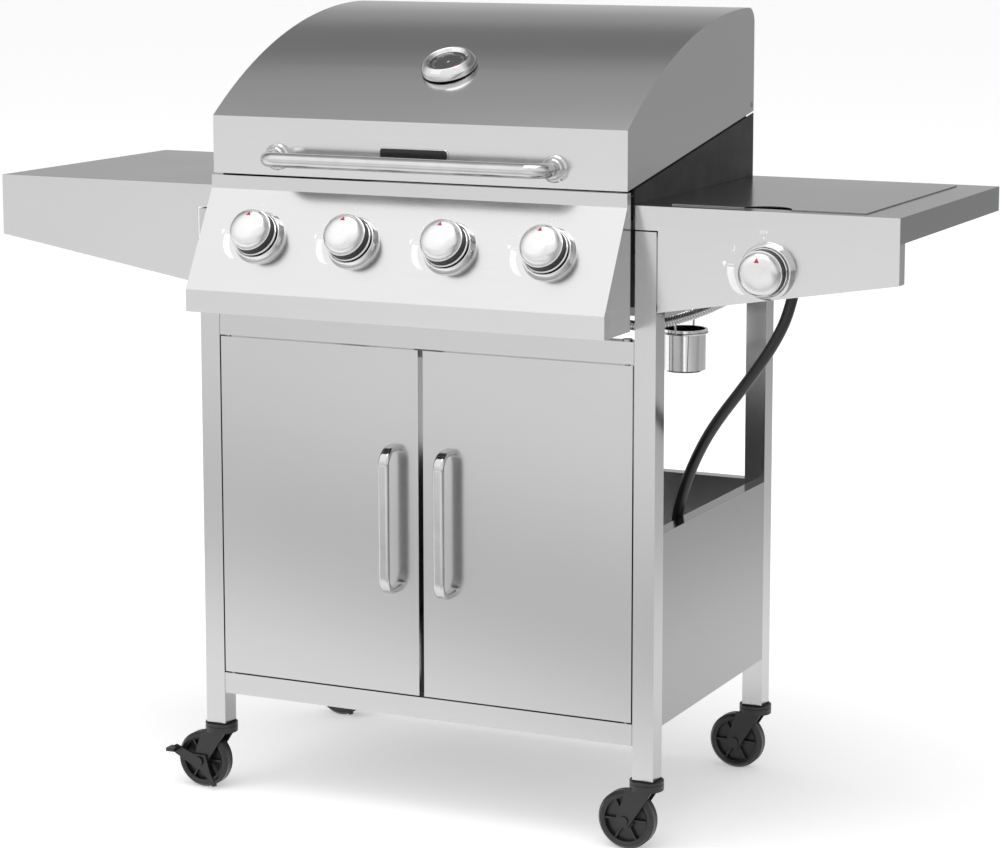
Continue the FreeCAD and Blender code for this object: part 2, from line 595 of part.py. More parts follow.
def build_shelves():
    for side, name in ((-1, "left"), (1, "right")):
        span = mirrored(("shelf_in", "shelf_x"), side)
        skirt = "shelf_z - leg_top"
        top = block(span, ("skin", "deep"), ("shelf_z - skin", "shelf_z"))
        rear = block(span, ("deep - skin", "deep"), ("leg_top", "shelf_z"))
        outer = block(mirrored(("shelf_x - skin", "shelf_x"), side), ("skin", "deep"),
                      (f"shelf_z - ({skirt})", "shelf_z"))
        plate = fuse(top, rear, outer)
        if side > 0:
            plate = cut(plate, block(("well_in", "well_out"), ("well_front", "well_back"),
                                     ("shelf_z - 5", "shelf_z + 5")))
        node(f"shelf_top_{name}", plate)

        s = f"{side}*"
        face = padded("XZ", (0, "skin"),
                      [(f"{s}shelf_in", "leg_top + joint_gap"),
                       (f"{s}(wide/2 + joint_gap)", "leg_top + joint_gap"),
                       (f"{s}(wide/2 + joint_gap)", "fascia_low"),
                       (f"{s}shelf_x", "fascia_end"), (f"{s}shelf_x", "shelf_z"),
                       (f"{s}shelf_in", "shelf_z")])
        fold = padded("XZ", ("skin/2", "return_deep"),
                      [(f"{s}wide/2", "fascia_low"), (f"{s}shelf_x", "fascia_end"),
                       (f"{s}shelf_x", "fascia_end + skin"), (f"{s}wide/2", "fascia_low + skin")])
        end = block(mirrored(("shelf_x - skin", "shelf_x"), side), ("skin/2", "return_deep"),
                    ("fascia_end", "leg_top"))
        if side > 0:
            face = cut(face, rod("Y", 5, ("side_x", "side_z"), (-1, 3)))
        node(f"shelf_front_{name}", fuse(face, fold, end))

    tub = cut(block(("well_in", "well_out"), ("well_front", "well_back"),
                    ("well_low", "shelf_z - 0.2")),
              block(("well_in + skin", "well_out - skin"), ("well_front + skin", "well_back - skin"),
                    ("well_low + skin", "shelf_z + 1")),
              rod("Z", 24, ("head_x", "head_y"), ("well_low - 2", "well_low + 3")))
    node("side_burner_pan", tub)
    node("side_burner_head", turned([(0, -24), (20, -24), (20, 4), (30, 10), (30, 14), (33, 14),
                                     ("head_radius", 19), (30, 23), (0, 23)]),
         "head_x", "head_y", "well_low")
    height = "well_low + 32"
    ring = cut(rod("Z", 76, ("head_x", "head_y"), (height, f"{height} + 5")),
               rod("Z", 70, ("head_x", "head_y"), (f"{height} - 1", f"{height} + 6")))
    bars = [ring]
    for turn in (0, 90, 180, 270):
        arm = padded("XZ", (-2.5, 2.5), [(24, 32), (98, 32), (108, 1), (115, 1), (105, 34),
                                         (96, 38.5, 22), (84, 38.5), (30, 37), (24, 36)])
        bars.append(at(arm, "head_x", "head_y", "well_low", ((0, 0, 1), turn + 45)))
    node("side_burner_grate", fuse(*bars))

    body = rod("Y", "valve", ("side_x", "side_z"), (12, 60))
    joint = rod("Y", 10, ("side_x", "side_z"), (59, 92))
    feed = rod("Y", 8, ("side_x", "side_z + 12"), (50, "head_y - 17.3"))
    hose_end = HOSE_ROUTE[0]
    hose_fitting = strut((hose_end[0] + 5.5, hose_end[1] - 1, size("side_z") - 3), hose_end,
                         "hose + 2")
    branch_end = BRANCH_ROUTE[-1]
    branch_fitting = strut(branch_end, (size("side_x") - 1, branch_end[1] - 4.4,
                                        branch_end[2] + 12.5), "branch + 2")
    bore = rod("Y", "spindle + running", ("side_x", "side_z"), (11, 34))
    node("side_valve", cut(fuse(body, joint, feed, hose_fitting, branch_fitting), bore))


def build_drip():
    lip = block(("-tray_x - 16", "tray_x + 16"), ("tray_front", "tray_back"),
                ("tray_top - 1", "tray_top"))
    bowl = block(("-tray_x", "tray_x"), ("tray_front", "tray_back"), ("tray_low", "tray_top"))
    hollow = block(("-tray_x + skin", "tray_x - skin"), ("tray_front + skin", "tray_back - skin"),
                   ("tray_low + skin", "tray_top + 1"))
    spout = rod("Z", 9, ("cup_x", "cup_y"), ("tray_low - 14", "tray_low + 1"))
    drain = rod("Z", 7.5, ("cup_x", "cup_y"), ("tray_low - 15", "tray_low + 2"))
    tabs = []
    for side in (-1, 1):
        y = f"cup_y + {side}*25"
        tab = block(("cup_x - 5", "cup_x + 5"), (f"{y} - 1", f"{y} + 1"),
                    ("hook_z - 4.5", "tray_low + 0.5"))
        tabs.append(cut(tab, rod("Y", "wire + running", ("cup_x", "hook_z"),
                                 (f"{y} - 2", f"{y} + 2"))))
    node("grease_tray", cut(fuse(lip, bowl, spout, *tabs), hollow, drain))

    tall = "cup_rim - cup_low"
    node("grease_cup", turned([(0, 0), ("cup - 2", 0), ("cup", 2), ("cup", f"{tall} - 3"),
                               ("cup + 2.6", f"{tall} - 3"), ("cup + 2.6", tall),
                               ("cup - 1", tall), ("cup - 1", 1.5), (0, 1.5)]),
         "cup_x", "cup_y", "cup_low")

    x, y, wire, ring_z = size("cup_x"), size("cup_y"), size("wire"), size("cup_rim - 4.5")
    reach = size("cup") + wire + 0.3
    hoop = Part.makeTorus(reach, wire, V(x, y, ring_z), V(0, 0, 1))
    for side in (-1, 1):
        route = [(x, y + side * 20, size("hook_z")), (x, y + side * (reach + 3), size("hook_z")),
                 (x, y + side * (reach + 3), ring_z + 12), (x, y + side * reach, ring_z - 1)]
        inward = V(*route[1]) - V(*route[0])
        hoop = hoop.fuse(piped(rounded(route, 4), route[0], inward, wire))
    node("cup_hanger", shaped(hoop))


def build_doors():
    pins = []
    for side, name in ((-1, "left"), (1, "right")):
        shell = block(mirrored(("door_in", "door_out"), side), (0, "door_deep"),
                      ("door_low", "door_top"))
        hollow = block(mirrored(("door_in + skin", "door_out - skin"), side),
                       ("skin", "door_deep + 1"), ("door_low + skin", "door_top - skin"))
        eyes = rod("Z", "pin + running", (f"{side}*pivot_x", "pivot_y"),
                   ("door_low - 1", "door_top + 1"))
        node(f"door_{name}", cut(cut(shell, hollow), eyes))

        x, out, bend = side * size("pull_x"), -size("pull_out"), size("pull_bend")
        low, high = size("pull_low + pull_thick/2"), size("pull_top - pull_thick/2")
        wide, thick = size("pull_wide") / 2, size("pull_thick") / 2
        route = [(x, 0, low), (x, out, low), (x, out, high), (x, 0, high)]
        flat = wide - thick
        section = Part.Wire([
            Part.LineSegment(V(x - flat, 0, low - thick), V(x + flat, 0, low - thick)).toShape(),
            Part.Arc(V(x + flat, 0, low - thick), V(x + wide, 0, low),
                     V(x + flat, 0, low + thick)).toShape(),
            Part.LineSegment(V(x + flat, 0, low + thick), V(x - flat, 0, low + thick)).toShape(),
            Part.Arc(V(x - flat, 0, low + thick), V(x - wide, 0, low),
                     V(x - flat, 0, low - thick)).toShape()])
        bar = rounded(route, bend).makePipeShell([section], True, True)
        node(f"door_handle_{name}", shaped(bar))

        across = (f"{side}*pivot_x", "pivot_y")
        pins.append(fuse(rod("Z", "pin", across, ("door_top - 7", "head_low + rail_tall")),
                         rod("Z", "pin + 3", across,
                             ("head_low + rail_tall", "head_low + rail_tall + 3"))))
        pins.append(rod("Z", "pin", across, ("rail_low + 16", "door_low + 8")))
    node("door_hinge_pins", group(*pins))


def build_gas_line():
    node("gas_hose", bent_rod(HOSE_ROUTE, size("hose"), name="gas_hose"))
    node("burner_pipe", bent_rod(BRANCH_ROUTE, size("branch"), name="burner_pipe"))

    x, y, z = HOSE_ROUTE[-1]
    above = HOSE_ROUTE[-2]
    collar = strut((x, y, z), (x - (above[0] - x) / 3, y - (above[1] - y) / 3,
                               z - (above[2] - z) / 3), "hose + 2")
    drum = rod("Y", 28, (x, z - 36), (y - 11, y + 15))
    dome = rod("Y", 20, (x, z - 36), (y - 17, y + 19))
    neck = rod("Z", "neck", (x, y), ("nut_low + 18", z - 60))
    flange = rod("Z", "neck + 4", (x, y), ("nut_low + 17", "nut_low + 20"))
    node("regulator", fuse(collar, drum, dome, neck, flange))
    node("cylinder_nut", turned([("nut_bore", 0), ("nut - 2", 0), ("nut", 2), ("nut", 24),
                                 ("nut - 2", 26), ("neck + running", 26), ("neck + running", 22),
                                 (15, 22), (15, 14), ("nut_bore", 14)]), x, y, "nut_low")


for build in (build_cart, build_castors, build_firebox, build_grates, build_lid, build_controls,
              build_shelves, build_cover, build_drip, build_doors, build_gas_line):
    build()
doc.recompute()

failed = [o.Label for o in doc.Objects if {"Invalid", "Error"} & set(o.State)]
failed += [name for name, item in nodes.items() if item.Shape.isNull() or not item.Shape.isValid()]
if failed:
    raise SystemExit(f"failed: {failed}")
os.makedirs("parts", exist_ok=True)
for name, item in nodes.items():
    item.Shape.exportStep(f"parts/{name}.step")
print(len(nodes), "sub-parts")
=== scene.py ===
"""A four-burner gas barbecue on a cabinet cart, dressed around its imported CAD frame."""

import json
import math

import bmesh
import bpy
from mathutils import Matrix, Vector


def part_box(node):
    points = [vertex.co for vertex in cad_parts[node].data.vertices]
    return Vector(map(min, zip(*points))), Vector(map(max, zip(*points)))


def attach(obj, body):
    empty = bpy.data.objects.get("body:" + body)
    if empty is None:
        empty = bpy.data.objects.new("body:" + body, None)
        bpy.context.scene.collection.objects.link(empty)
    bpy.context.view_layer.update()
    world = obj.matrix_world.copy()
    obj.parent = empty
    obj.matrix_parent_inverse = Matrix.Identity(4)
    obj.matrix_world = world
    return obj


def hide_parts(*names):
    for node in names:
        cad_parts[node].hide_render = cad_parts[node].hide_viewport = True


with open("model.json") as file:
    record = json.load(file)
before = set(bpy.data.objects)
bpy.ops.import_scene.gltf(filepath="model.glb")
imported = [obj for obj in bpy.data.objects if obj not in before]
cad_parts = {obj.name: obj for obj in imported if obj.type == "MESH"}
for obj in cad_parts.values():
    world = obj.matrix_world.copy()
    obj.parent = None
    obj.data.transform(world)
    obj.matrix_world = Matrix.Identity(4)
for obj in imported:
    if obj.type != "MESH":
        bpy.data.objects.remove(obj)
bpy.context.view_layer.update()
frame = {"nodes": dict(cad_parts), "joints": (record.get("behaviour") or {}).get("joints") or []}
nodes = frame["nodes"]
joints = {joint["name"]: joint for joint in frame["joints"]}
MM = 0.001
KNOBS = ("1", "2", "3", "4", "side")
CASTORS = ("fl", "fr", "rl", "rr")

# ---------------------------------------------------------------- materials


def new_material(name, color, metallic=0.0, roughness=0.5, coat=0.0):
    """A Principled material with its constants on the shader's own sockets."""
    material = bpy.data.materials.new(name)
    material.use_nodes = True
    shader = material.node_tree.nodes["Principled BSDF"]
    shader.inputs["Base Color"].default_value = (*color, 1)
    shader.inputs["Metallic"].default_value = metallic
    shader.inputs["Roughness"].default_value = roughness
    shader.inputs["Coat Weight"].default_value = coat
    return material


def add_node(material, kind, links=(), **values):
    """A node with inputs set by name, and (input, socket) links into it."""
    tree = material.node_tree
    item = tree.nodes.new(kind)
    for key, value in values.items():
        item.inputs[key.replace("_", " ")].default_value = value
    for key, socket in links:
        tree.links.new(socket, item.inputs[key])
    return item


def stretched_noise(material, stretch, detail=3.0):
    """Noise over the object's own metres, with that many cells a metre on each axis."""
    coords = add_node(material, "ShaderNodeTexCoord")
    mapping = add_node(material, "ShaderNodeMapping", [("Vector", coords.outputs["Object"])],
                       Scale=stretch)
    noise = add_node(material, "ShaderNodeTexNoise", [("Vector", mapping.outputs["Vector"])],
                     Scale=1.0, Detail=detail)
    return noise.outputs["Fac"]


def spread(material, socket, low, high, start=0.3, end=0.7):
    """Maps a 0 to 1 socket's middle on to the range low to high."""
    item = add_node(material, "ShaderNodeMapRange", [("Value", socket)], From_Min=start,
                    From_Max=end, To_Min=low, To_Max=high)
    return item.outputs["Result"]


def tint(material, socket, dark, light):
    """Colours the shader between two colours by a 0 to 1 socket."""
    ramp = add_node(material, "ShaderNodeValToRGB", [("Fac", socket)])
    ramp.color_ramp.elements[0].position = 0.3
    ramp.color_ramp.elements[0].color = (*dark, 1)
    ramp.color_ramp.elements[1].position = 0.7
    ramp.color_ramp.elements[1].color = (*light, 1)
    link(material, ramp.outputs["Color"], "Base Color")


def link(material, socket, name):
    """Feeds one of the shader's inputs from a socket."""
    shader = material.node_tree.nodes["Principled BSDF"]
    material.node_tree.links.new(socket, shader.inputs[name])


def bump(material, socket, height):
    """Raises the surface by a socket's value times a height in metres."""
    item = add_node(material, "ShaderNodeBump", [("Height", socket)], Strength=1.0,
                    Distance=height)
    link(material, item.outputs["Normal"], "Normal")


def brushed(name, shade, roughness, grain):
    """Brushed stainless sheet: fine lines along the grain axis and broad, faint handling marks."""
    base = (shade, shade, shade + 0.004)
    material = new_material(name, base, 1.0, roughness)
    fine = [4000.0, 4000.0, 4000.0]
    fine["XYZ".index(grain)] = 12.0
    lines = stretched_noise(material, fine)
    cloud = stretched_noise(material, (3.0, 3.0, 3.0), 2.0)
    link(material, spread(material, cloud, roughness - 0.015, roughness + 0.015), "Roughness")
    tint(material, lines, [c * 0.97 for c in base], [c * 1.02 for c in base])
    bump(material, lines, 0.000002)
    return material


def turned_metal(name, shade, roughness, tones=None):
    """Smooth metal with a little cloudy tarnish, grey unless its dark and light tones are given."""
    material = new_material(name, (shade,) * 3, 1.0, roughness)
    cloud = stretched_noise(material, (60, 60, 60), 4.0)
    link(material, spread(material, cloud, roughness * 0.8, roughness * 1.35), "Roughness")
    dark, light = tones or ((shade * 0.95,) * 3, (shade * 1.03,) * 3)
    tint(material, cloud, dark, light)
    return material


def moulded(name, color, roughness, grain=1400.0, height=0.00003):
    """Moulded plastic with a fine spark-eroded grain and slight sheen changes."""
    material = new_material(name, color, 0.0, roughness)
    fine = stretched_noise(material, (grain,) * 3, 2.0)
    broad = stretched_noise(material, (30,) * 3, 3.0)
    link(material, spread(material, broad, roughness - 0.06, roughness + 0.08), "Roughness")
    tint(material, broad, [c * 0.8 for c in color], [c * 1.25 for c in color])
    bump(material, fine, height)
    return material


def cast(name, color, roughness, height=0.0003, metallic=0.0):
    """Rough cast iron, or a cast alloy where it is metallic."""
    material = new_material(name, color, metallic, roughness, coat=0.15)
    pits = stretched_noise(material, (260,) * 3, 5.0)
    link(material, spread(material, pits, roughness - 0.1, roughness + 0.12), "Roughness")
    tint(material, pits, [c * 0.7 for c in color], [c * 1.4 for c in color])
    bump(material, pits, height)
    return material


def printed(name, color, roughness=0.45):
    """Printed ink, a little uneven."""
    material = new_material(name, color, 0.0, roughness)
    cloud = stretched_noise(material, (400,) * 3, 2.0)
    tint(material, cloud, [c * 0.93 for c in color], color)
    return material


def clear_glass(name, color, roughness):
    """Clear glass with a slightly uneven polish."""
    material = new_material(name, color, 0.0, roughness)
    shader = material.node_tree.nodes["Principled BSDF"]
    shader.inputs["Transmission Weight"].default_value = 1.0
    cloud = stretched_noise(material, (90.0, 90.0, 90.0))
    link(material, spread(material, cloud, roughness * 0.5, roughness * 2), "Roughness")
    return material


STEEL_X = brushed("steel_grain_x", 0.59, 0.19, "X")
# painted shade: this copy of the brushed steel is far darker than the fronts, so the side panels,
# shelf tops and the parts on them look shaded
STEEL_Y_PAINTED_SHADE = brushed("steel_grain_y_painted_shade", 0.34, 0.17, "Y")
# painted shade: a slightly darker copy of the brushed steel for the legs
STEEL_Z_PAINTED_SHADE = brushed("steel_grain_z_painted_shade", 0.54, 0.20, "Z")
# painted shade: a darker copy of the front steel for the doors and rails
STEEL_DOOR_PAINTED_SHADE = brushed("steel_door_painted_shade", 0.53, 0.20, "X")
STEEL_LID = brushed("steel_lid", 0.63, 0.16, "X")
STEEL_CUP = brushed("steel_polished", 0.80, 0.12, "Z")
ZINC = brushed("zinc_sheet", 0.30, 0.32, "Y")
CHROME = turned_metal("chrome", 0.68, 0.09)
TUBE = turned_metal("polished_tube", 0.55, 0.12)
SATIN = turned_metal("satin_cap", 0.72, 0.28)
DULL_STEEL = turned_metal("burner_steel", 0.38, 0.42)
DARK_STEEL = turned_metal("castor_steel", 0.4, 0.3)
BRASS = turned_metal("brass", 0.5, 0.3, tones=((0.52, 0.36, 0.14), (0.66, 0.48, 0.21)))
ALLOY = cast("valve_alloy", (0.5, 0.5, 0.49), 0.42, 0.0001, metallic=0.9)
ENAMEL = moulded("black_enamel", (0.008, 0.008, 0.0085), 0.5, 500.0, 0.00002)
IRON = cast("cast_iron", (0.035, 0.034, 0.033), 0.55)
PLASTIC = moulded("castor_plastic", (0.009, 0.009, 0.0095), 0.34)
RUBBER = moulded("hose_rubber", (0.006, 0.006, 0.006), 0.36, 2400.0, 0.00001)
RIBBED = moulded("knob_ring", (0.02, 0.02, 0.022), 0.3)
GLOSS_BLACK = moulded("gloss_black", (0.008, 0.008, 0.008), 0.16, 300.0, 0.000002)
FACE_BLACK = printed("dial_black", (0.012, 0.012, 0.013), 0.5)
WHITE = printed("print_white", (0.93, 0.93, 0.93))
RED = printed("print_red", (0.45, 0.004, 0.03))
GLASS = clear_glass("dial_glass", (0.95, 0.97, 0.97), 0.04)

NODE_MATERIALS = {
    STEEL_LID: ("lid_shell",),
    STEEL_X: ("control_panel", "rear_panel", "shelf_front_left", "shelf_front_right"),
    STEEL_DOOR_PAINTED_SHADE: ("cabinet_rails", "door_left", "door_right"),
    STEEL_Y_PAINTED_SHADE: ("side_panels", "shelf_top_left", "shelf_top_right", "side_burner_cover",
              "side_burner_pan", "lid_hinge_bolts"),
    STEEL_Z_PAINTED_SHADE: ("legs",),
    STEEL_CUP: ("grease_cup",),
    ZINC: ("tank_shelf", "grease_tray"),
    CHROME: ("knob_bezels", "warming_rack", "side_burner_grate", "cup_hanger"),
    TUBE: ("lid_handle", "door_handle_left", "door_handle_right"),
    DULL_STEEL: ("heat_plates", "burners", "side_burner_head"),
    DARK_STEEL: ("door_hinge_pins",),
    ALLOY: ("gas_manifold", "side_valve", "regulator"),
    BRASS: tuple(f"valve_stem_{k}" for k in KNOBS),
    ENAMEL: ("firebox",),
    IRON: ("cooking_grates",),
    PLASTIC: ("caster_stems", "cylinder_nut", "caster_brake_fl", "caster_brake_rl")
    + tuple(f"caster_{part}_{c}" for part in ("fork", "wheel") for c in CASTORS),
}
SOFT_EDGE = 0.4
SOFT_EDGES = {"cooking_grates": 1.2, "warming_rack": 0.5, "firebox": 0.5, "legs": 0.6}


def dress_frame():
    """Gives each CAD node its material and a small edge radius that catches the light."""
    for material, names in NODE_MATERIALS.items():
        for name in names:
            item = nodes[name]
            item.data.materials.clear()
            item.data.materials.append(material)
            edge = item.modifiers.new("edge", "BEVEL")
            edge.width = SOFT_EDGES.get(name, SOFT_EDGE) * MM
            edge.segments = 2
            edge.limit_method = "ANGLE"
            edge.angle_limit = math.radians(40)
            edge.use_clamp_overlap = True
            edge.harden_normals = False


# ---------------------------------------------------------------- mesh helpers


def finished(name, mesh, body, material_slot, *materials, angle=35):
    """Links a mesh as a piece that rides on a body, smooth but for edges over an angle."""
    for material in materials:
        mesh.materials.append(material)
    mesh.polygons.foreach_set("use_smooth", [True] * len(mesh.polygons))
    mesh.set_sharp_from_angle(angle=math.radians(angle))
    piece = bpy.data.objects.new(name, mesh)
    bpy.context.scene.collection.objects.link(piece)
    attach(piece, body)
    return piece


def ring(bm, place, radii, height):
    """A ring of vertices in millimetres about the place's Z axis, one for each radius."""
    vertices = []
    for i, radius in enumerate(radii):
        turn = math.tau * i / len(radii)
        point = Vector((math.cos(turn) * radius, math.sin(turn) * radius, height)) * MM
        vertices.append(bm.verts.new(place @ point))
    return vertices


def bridge(bm, low, high, material=0):
    """Joins two closed rings of as many vertices with four-sided faces."""
    for i in range(len(low)):
        j = (i + 1) % len(low)
        bm.faces.new([low[i], low[j], high[j], high[i]]).material_index = material


def lathe(bm, profile, place, material=0, steps=96, closed=False):
    """Turns (radius, height) points in millimetres about the place's Z axis."""
    rings = []
    for radius, height in profile:
        if radius < 1e-6:
            rings.append([bm.verts.new(place @ Vector((0, 0, height * MM)))])
        else:
            rings.append(ring(bm, place, [radius] * steps, height))
    pairs = list(zip(rings, rings[1:]))
    if closed:
        pairs.append((rings[-1], rings[0]))
    for low, high in pairs:
        for i in range(steps):
            j = (i + 1) % steps
            corners = [low[i % len(low)], low[j % len(low)], high[j % len(high)],
                       high[i % len(high)]]
            unique = list(dict.fromkeys(corners))
            if len(unique) > 2:
                bm.faces.new(unique).material_index = material


def plate(bm, outline, low, high, place, material=0):
    """A flat plate from a counter-clockwise outline in millimetres, between two heights."""
    top = [bm.verts.new(place @ (Vector((x, y, high)) * MM)) for x, y in outline]
    bottom = [bm.verts.new(place @ (Vector((x, y, low)) * MM)) for x, y in outline]
    bm.faces.new(top).material_index = material
    bm.faces.new(bottom[::-1]).material_index = material
    bridge(bm, bottom, top, material)


def ring_points(radius, start, end, steps):
    """Points in millimetres on an arc, in degrees counter-clockwise from +X."""
    for i in range(steps + 1):
        turn = math.radians(start + (end - start) * i / steps)
        yield radius * math.cos(turn), radius * math.sin(turn)


def rectangle(left, bottom, right, top):
    return [(left, bottom), (right, bottom), (right, top), (left, top)]


def to_mesh(bm, name):
    """Turns a bmesh into a mesh, with its normals made to agree, and frees it."""
    mesh = bpy.data.meshes.new(name)
    bmesh.ops.recalc_face_normals(bm, faces=bm.faces)
    bm.to_mesh(mesh)
    bm.free()
    return mesh


def axis_frame(origin, axis, up=(0, 0, 1)):
    """A placement whose Z is the axis and whose Y is as near to up as it can be."""
    z = Vector(axis).normalized()
    x = Vector(up).cross(z).normalized()
    y = z.cross(x)
    place = Matrix((x, y, z)).transposed().to_4x4()
    place.translation = Vector(origin)
    return place


# ---------------------------------------------------------------- camera, light, floor

VIEW_YAW = 25.12
VIEW_PITCH = 8.42
VIEW_DISTANCE = 3.6482
VIEW_TARGET = (0.1397, -0.1611, 0.6542)
LENS = 106.42
SHIFT = (-0.0208, -0.1001)


def make_camera():
    """The photograph's viewpoint."""
    yaw, pitch = math.radians(VIEW_YAW), math.radians(VIEW_PITCH)
    back = Vector((math.sin(yaw) * math.cos(pitch), -math.cos(yaw) * math.cos(pitch),
                   math.sin(pitch)))
    data = bpy.data.cameras.new("camera")
    data.lens = LENS
    data.sensor_width = 36
    data.shift_x, data.shift_y = SHIFT
    data.clip_end = 200
    camera = bpy.data.objects.new("camera", data)
    camera.location = Vector(VIEW_TARGET) + back * VIEW_DISTANCE
    camera.rotation_mode = "QUATERNION"
    camera.rotation_quaternion = (-back).to_track_quat("-Z", "Y")
    bpy.context.scene.collection.objects.link(camera)
    bpy.context.scene.camera = camera


def area_light(name, location, aim, size, power):
    """A square light aimed at a point, with its side in metres and its power in watts."""
    data = bpy.data.lights.new(name, "AREA")
    data.energy = power
    data.size = size
    light = bpy.data.objects.new(name, data)
    light.location = location
    direction = Vector(aim) - Vector(location)
    light.rotation_mode = "QUATERNION"
    light.rotation_quaternion = direction.to_track_quat("-Z", "Y")
    bpy.context.scene.collection.objects.link(light)


def gray_ramp(tree, socket, stops):
    """Greys along a 0 to 1 socket, eased between (position, level) stops."""
    ramp = tree.nodes.new("ShaderNodeValToRGB")
    tree.links.new(socket, ramp.inputs["Fac"])
    ramp.color_ramp.interpolation = "EASE"
    while len(ramp.color_ramp.elements) < len(stops):
        ramp.color_ramp.elements.new(0.5)
    for element, (position, level) in zip(ramp.color_ramp.elements, stops):
        element.position = position
        element.color = (level, level, level, 1)
    return ramp.outputs["Color"]


# (sine of the elevation, level) stops, and the tent's strength.
FRONT_SKY = [(0, 0.70), (0.3, 0.80), (0.52, 0.80), (0.8, 0.84), (0.92, 0.52), (1, 0.36)]
REAR_SKY = [(0, 0.44), (0.16, 0.38), (0.40, 0.26), (0.54, 0.16), (0.66, 0.16), (0.80, 0.30),
            (0.92, 0.34), (1, 0.36)]
SKY_STRENGTH = 1.42
# Where the front of the tent turns into its back, by the direction's Y.
SKY_SEAM = (-0.3, 0.2)


def make_sky():
    """A soft tent: bright in front and above, greyer behind, with a dark band in its back wall."""
    world = bpy.data.worlds.new("studio")
    bpy.context.scene.world = world
    world.use_nodes = True
    tree = world.node_tree
    coords = tree.nodes.new("ShaderNodeTexCoord")
    split = tree.nodes.new("ShaderNodeSeparateXYZ")
    tree.links.new(coords.outputs["Generated"], split.inputs["Vector"])
    side = tree.nodes.new("ShaderNodeMapRange")
    side.inputs["From Min"].default_value, side.inputs["From Max"].default_value = SKY_SEAM
    tree.links.new(split.outputs["Y"], side.inputs["Value"])
    mix = tree.nodes.new("ShaderNodeMix")
    mix.data_type = "RGBA"
    colors = [socket for socket in mix.inputs if socket.type == "RGBA"]
    tree.links.new(side.outputs["Result"], mix.inputs["Factor"])
    tree.links.new(gray_ramp(tree, split.outputs["Z"], FRONT_SKY), colors[0])
    tree.links.new(gray_ramp(tree, split.outputs["Z"], REAR_SKY), colors[1])
    result = next(socket for socket in mix.outputs if socket.type == "RGBA")
    tree.links.new(result, tree.nodes["Background"].inputs["Color"])
    tree.nodes["Background"].inputs["Strength"].default_value = SKY_STRENGTH


def floor_stretch(paint, coords, direction, start, end):
    """Runs from 0 to 1 between two distances in metres along a direction on the floor."""
    along = add_node(paint, "ShaderNodeVectorMath", [(0, coords.outputs["Object"])])
    along.operation = "DOT_PRODUCT"
    along.inputs[1].default_value = direction
    return spread(paint, along.outputs["Value"], 0.0, 1.0, start, end)


def product(paint, first, second):
    """Two sockets multiplied."""
    item = add_node(paint, "ShaderNodeMath", [(0, first), (1, second)])
    item.operation = "MULTIPLY"
    return item.outputs["Value"]


# Directions on the floor: away to the back right, and towards the photograph's viewpoint.
BACK_RIGHT = (0.964, 0.267, 0)
TO_VIEWER = (0.424, -0.905, 0)
FLOOR_REACH = 80
FLOOR_GAP = 0.0005


def make_floor():
    """A white floor with a painted glow, though it is no lamp, graded to painted grey shade in
    front and to the back right.

    The grades lie still on the floor. The grey in front is a painted shadow of the grill and the
    grey to the back right is painted shade; they give the steel its darker reflections.
    """
    mesh = bpy.data.meshes.new("floor")
    reach = FLOOR_REACH
    mesh.from_pydata([(-reach, -reach, 0), (reach, -reach, 0), (reach, reach, 0),
                      (-reach, reach, 0)], [], [(0, 1, 2, 3)])
    paint = new_material("floor_painted_shade_and_glow", (0.9, 0.9, 0.9), 0.0, 0.8)
    coords = add_node(paint, "ShaderNodeTexCoord")
    right = floor_stretch(paint, coords, BACK_RIGHT, 0.6, 3.4)
    front = floor_stretch(paint, coords, TO_VIEWER, 0.4, 3.2)
    tree = paint.node_tree
    # painted shade: the floor's colour greys away to the back right and in front of the grill,
    # where its shadow would fall
    tone = product(paint, gray_ramp(tree, right, [(0, 0.92), (0.35, 0.66), (1, 0.52)]),
                   gray_ramp(tree, front, [(0, 1), (0.22, 0.68), (0.6, 0.92), (1, 0.98)]))
    # painted light: the floor glows, most where it is white, though it is no lamp
    glow = product(paint, gray_ramp(tree, right, [(0, 0.34), (0.35, 0.08), (1, 0)]),
                   gray_ramp(tree, front, [(0, 1), (0.22, 0.3), (0.6, 0.9), (1, 1)]))
    link(paint, tone, "Base Color")
    link(paint, glow, "Emission Strength")
    tree.nodes["Principled BSDF"].inputs["Emission Color"].default_value = (1, 1, 1, 1)
    mesh.materials.append(paint)
    floor = bpy.data.objects.new("floor", mesh)
    floor.location.z = -FLOOR_GAP
    bpy.context.scene.collection.objects.link(floor)


def make_studio():
    """The tent and the floor, with a weak key light and a broad one overhead."""
    bpy.context.scene.view_settings.view_transform = "Standard"
    make_sky()
    make_floor()
    aim = (0, 0, 0.6)
    area_light("key", (-2.4, -3.2, 3.6), aim, 3.4, 9)
    area_light("top", (0.2, -1.6, 8.0), aim, 6.0, 230)


# ---------------------------------------------------------------- gas line

HOSE_ROUTE = [
    (468, 80, 616), (461, 81, 584), (441, 84, 544), (405, 92, 495), (353, 107, 432),
    (323, 119, 382), (300, 132, 330), (287, 145, 276), (281, 154, 226), (279, 158, 190),
]
BRANCH_ROUTE = [
    (262, -22, 606), (263, -8, 584), (270, 16, 567), (288, 44, 562), (318, 64, 568),
    (356, 72, 582), (394, 68, 602), (424, 60, 624), (446, 54, 642),
]
HOSE_RADIUS = 7
PIPE_CREST, PIPE_VALLEY, PIPE_PITCH = 6.25, 4.9, 3.6
PIPE_SIDES, RINGS_A_RIB, RIB_FLATNESS = 28, 6, 0.7
# The drawing frame's distances to the middle and down to the ground, in millimetres.
MIDDLE = 161.1
GROUND = 92.5


def row_point(x, y, z):
    """A point of the drawing frame, in millimetres, in the row frame's metres."""
    return Vector((x, y - MIDDLE, z + GROUND)) * MM


